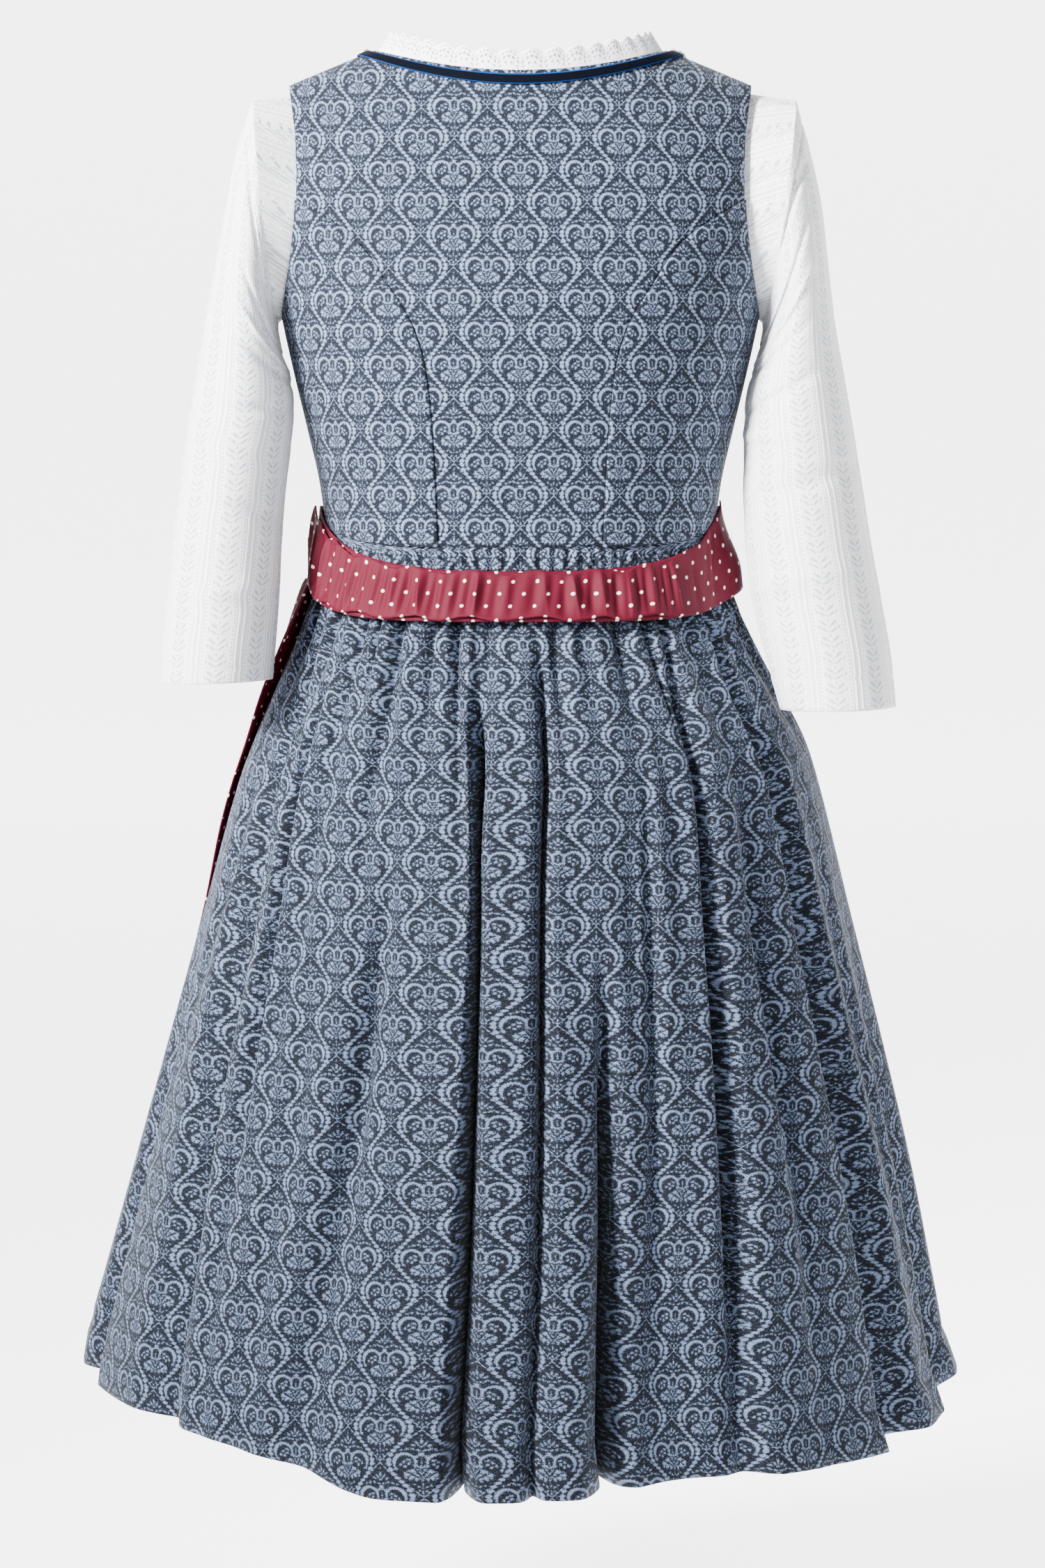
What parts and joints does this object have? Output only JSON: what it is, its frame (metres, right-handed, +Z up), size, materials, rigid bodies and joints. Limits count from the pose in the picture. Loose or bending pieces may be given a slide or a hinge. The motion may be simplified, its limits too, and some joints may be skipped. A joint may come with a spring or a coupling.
{
  "type": "dirndl dress with apron and blouse",
  "caption": "Dirndl with fitted bodice, gathered skirt, wrapped and tied apron and white blouse, hollow as worn.",
  "frame": {"origin": "midway between the two places where the neckline meets the shoulder seams, where the shoulders hold it", "axes": "+Z up, the wearer faces -Y, +X is the wearer's left"},
  "size_m": [0.504, 0.4608, 0.7948],
  "materials": {
    "fabric_blue": "woven damask cotton",
    "velvet_ribbon": "velvet ribbon",
    "dotted_red": "printed plain cotton",
    "white_cotton": "dobby striped cotton",
    "white_lace": "scalloped eyelet lace",
    "button": "domed metal"
  },
  "bodies": {
    "root": {"bodice_back": "fabric_blue", "bodice_side_back_left": "fabric_blue", "bodice_side_back_right": "fabric_blue", "bodice_front_left": "fabric_blue", "bodice_front_right": "fabric_blue", "waist_casing": "fabric_blue", "front_placket": "fabric_blue", "skirt_back": "fabric_blue", "skirt_front": "fabric_blue", "neck_ribbon": "velvet_ribbon", "apron_band": "dotted_red", "apron_panel": "dotted_red", "apron_tie_over": "dotted_red", "apron_tie_under": "dotted_red", "bow_knot": "dotted_red", "bow_loop_left": "dotted_red", "bow_loop_right": "dotted_red", "bow_tail_left": "dotted_red", "bow_tail_right": "dotted_red", "blouse_back": "white_cotton", "blouse_front": "white_cotton", "blouse_sleeve_left": "white_cotton", "blouse_sleeve_right": "white_cotton", "blouse_neck_frill": "white_lace", "button_1": "button", "button_2": "button", "button_3": "button", "button_4": "button", "button_5": "button"}
  },
  "joints": []
}
